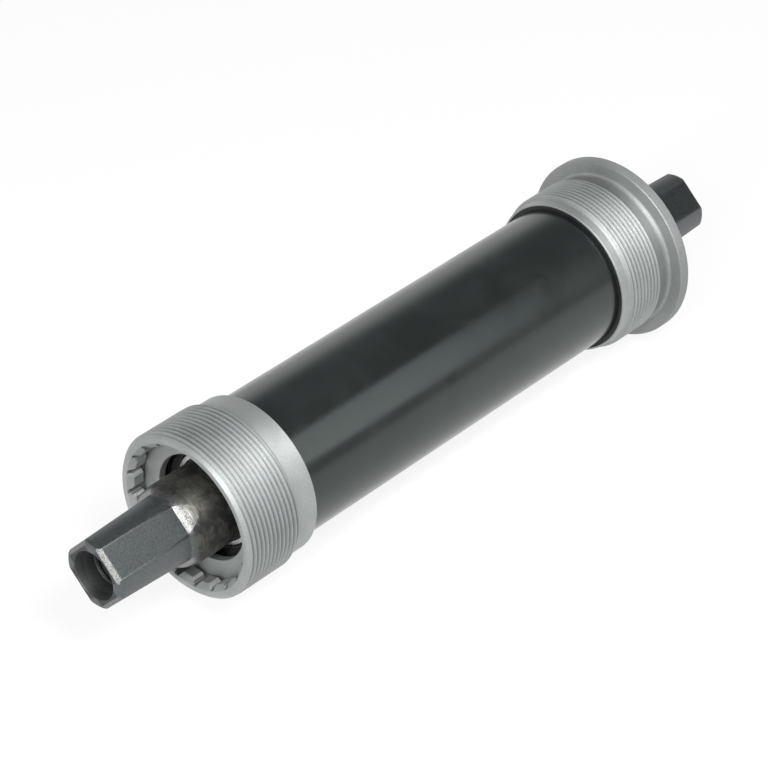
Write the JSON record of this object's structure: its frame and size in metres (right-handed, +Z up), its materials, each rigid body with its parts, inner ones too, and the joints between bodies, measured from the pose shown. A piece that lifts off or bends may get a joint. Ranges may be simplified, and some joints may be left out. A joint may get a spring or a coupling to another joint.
{
  "type": "bicycle bottom bracket",
  "caption": "Cartridge bottom bracket with a square-taper spindle, sealed bearings in a black tube, and splined threaded cups, one of them flanged.",
  "frame": {"origin": "middle of the spindle, on its axis", "axes": "+X along the spindle towards the drive side and the flanged cup, +Z up, +Y to the back"},
  "size_m": [0.171, 0.0398, 0.0398],
  "materials": {
    "blackened_steel": "black oxide",
    "black_tube": "satin gloss",
    "satin_alloy": "satin",
    "black_rubber": "matte",
    "sleeve_plastic": "matte",
    "bearing_steel": "ground",
    "polished_balls": "polished",
    "cage_steel": "machined"
  },
  "bodies": {
    "cartridge": {"shell_tube": "black_tube", "right_cup": "satin_alloy", "right_rubber_ring": "black_rubber", "spacer_sleeve": "sleeve_plastic", "left_bearing_outer_ring": "bearing_steel", "left_outer_seal": "black_rubber", "left_inner_seal": "black_rubber", "right_bearing_outer_ring": "bearing_steel", "right_outer_seal": "black_rubber", "right_inner_seal": "black_rubber"},
    "spindle": {"spindle": "blackened_steel", "left_bearing_inner_ring": "bearing_steel", "right_bearing_inner_ring": "bearing_steel"},
    "left_ball_set": {"left_bearing_balls": "polished_balls", "left_cage_outer_half": "cage_steel", "left_cage_inner_half": "cage_steel"},
    "right_ball_set": {"right_bearing_balls": "polished_balls", "right_cage_outer_half": "cage_steel", "right_cage_inner_half": "cage_steel"},
    "left_cup": {"left_cup": "satin_alloy", "left_rubber_ring": "black_rubber"}
  },
  "joints": [
    {"name": "spindle_spin", "type": "hinge", "parent": "cartridge", "child": "spindle", "pos_m": [0, 0, 0], "axis": [1, 0, 0], "continuous": true},
    {"name": "left_balls_orbit", "type": "hinge", "parent": "cartridge", "child": "left_ball_set", "pos_m": [-0.0512, 0, 0], "axis": [1, 0, 0], "continuous": true},
    {"name": "right_balls_orbit", "type": "hinge", "parent": "cartridge", "child": "right_ball_set", "pos_m": [0.0529, 0, 0], "axis": [1, 0, 0], "continuous": true},
    {"name": "left_cup_pull", "type": "slide", "parent": "cartridge", "child": "left_cup", "axis": [-1, 0, 0], "range_m": [0, 0.045]}
  ],
  "couplings": [
    {"joint": "left_balls_orbit", "follows": "spindle_spin", "ratio": 0.4222},
    {"joint": "right_balls_orbit", "follows": "spindle_spin", "ratio": 0.4222}
  ]
}
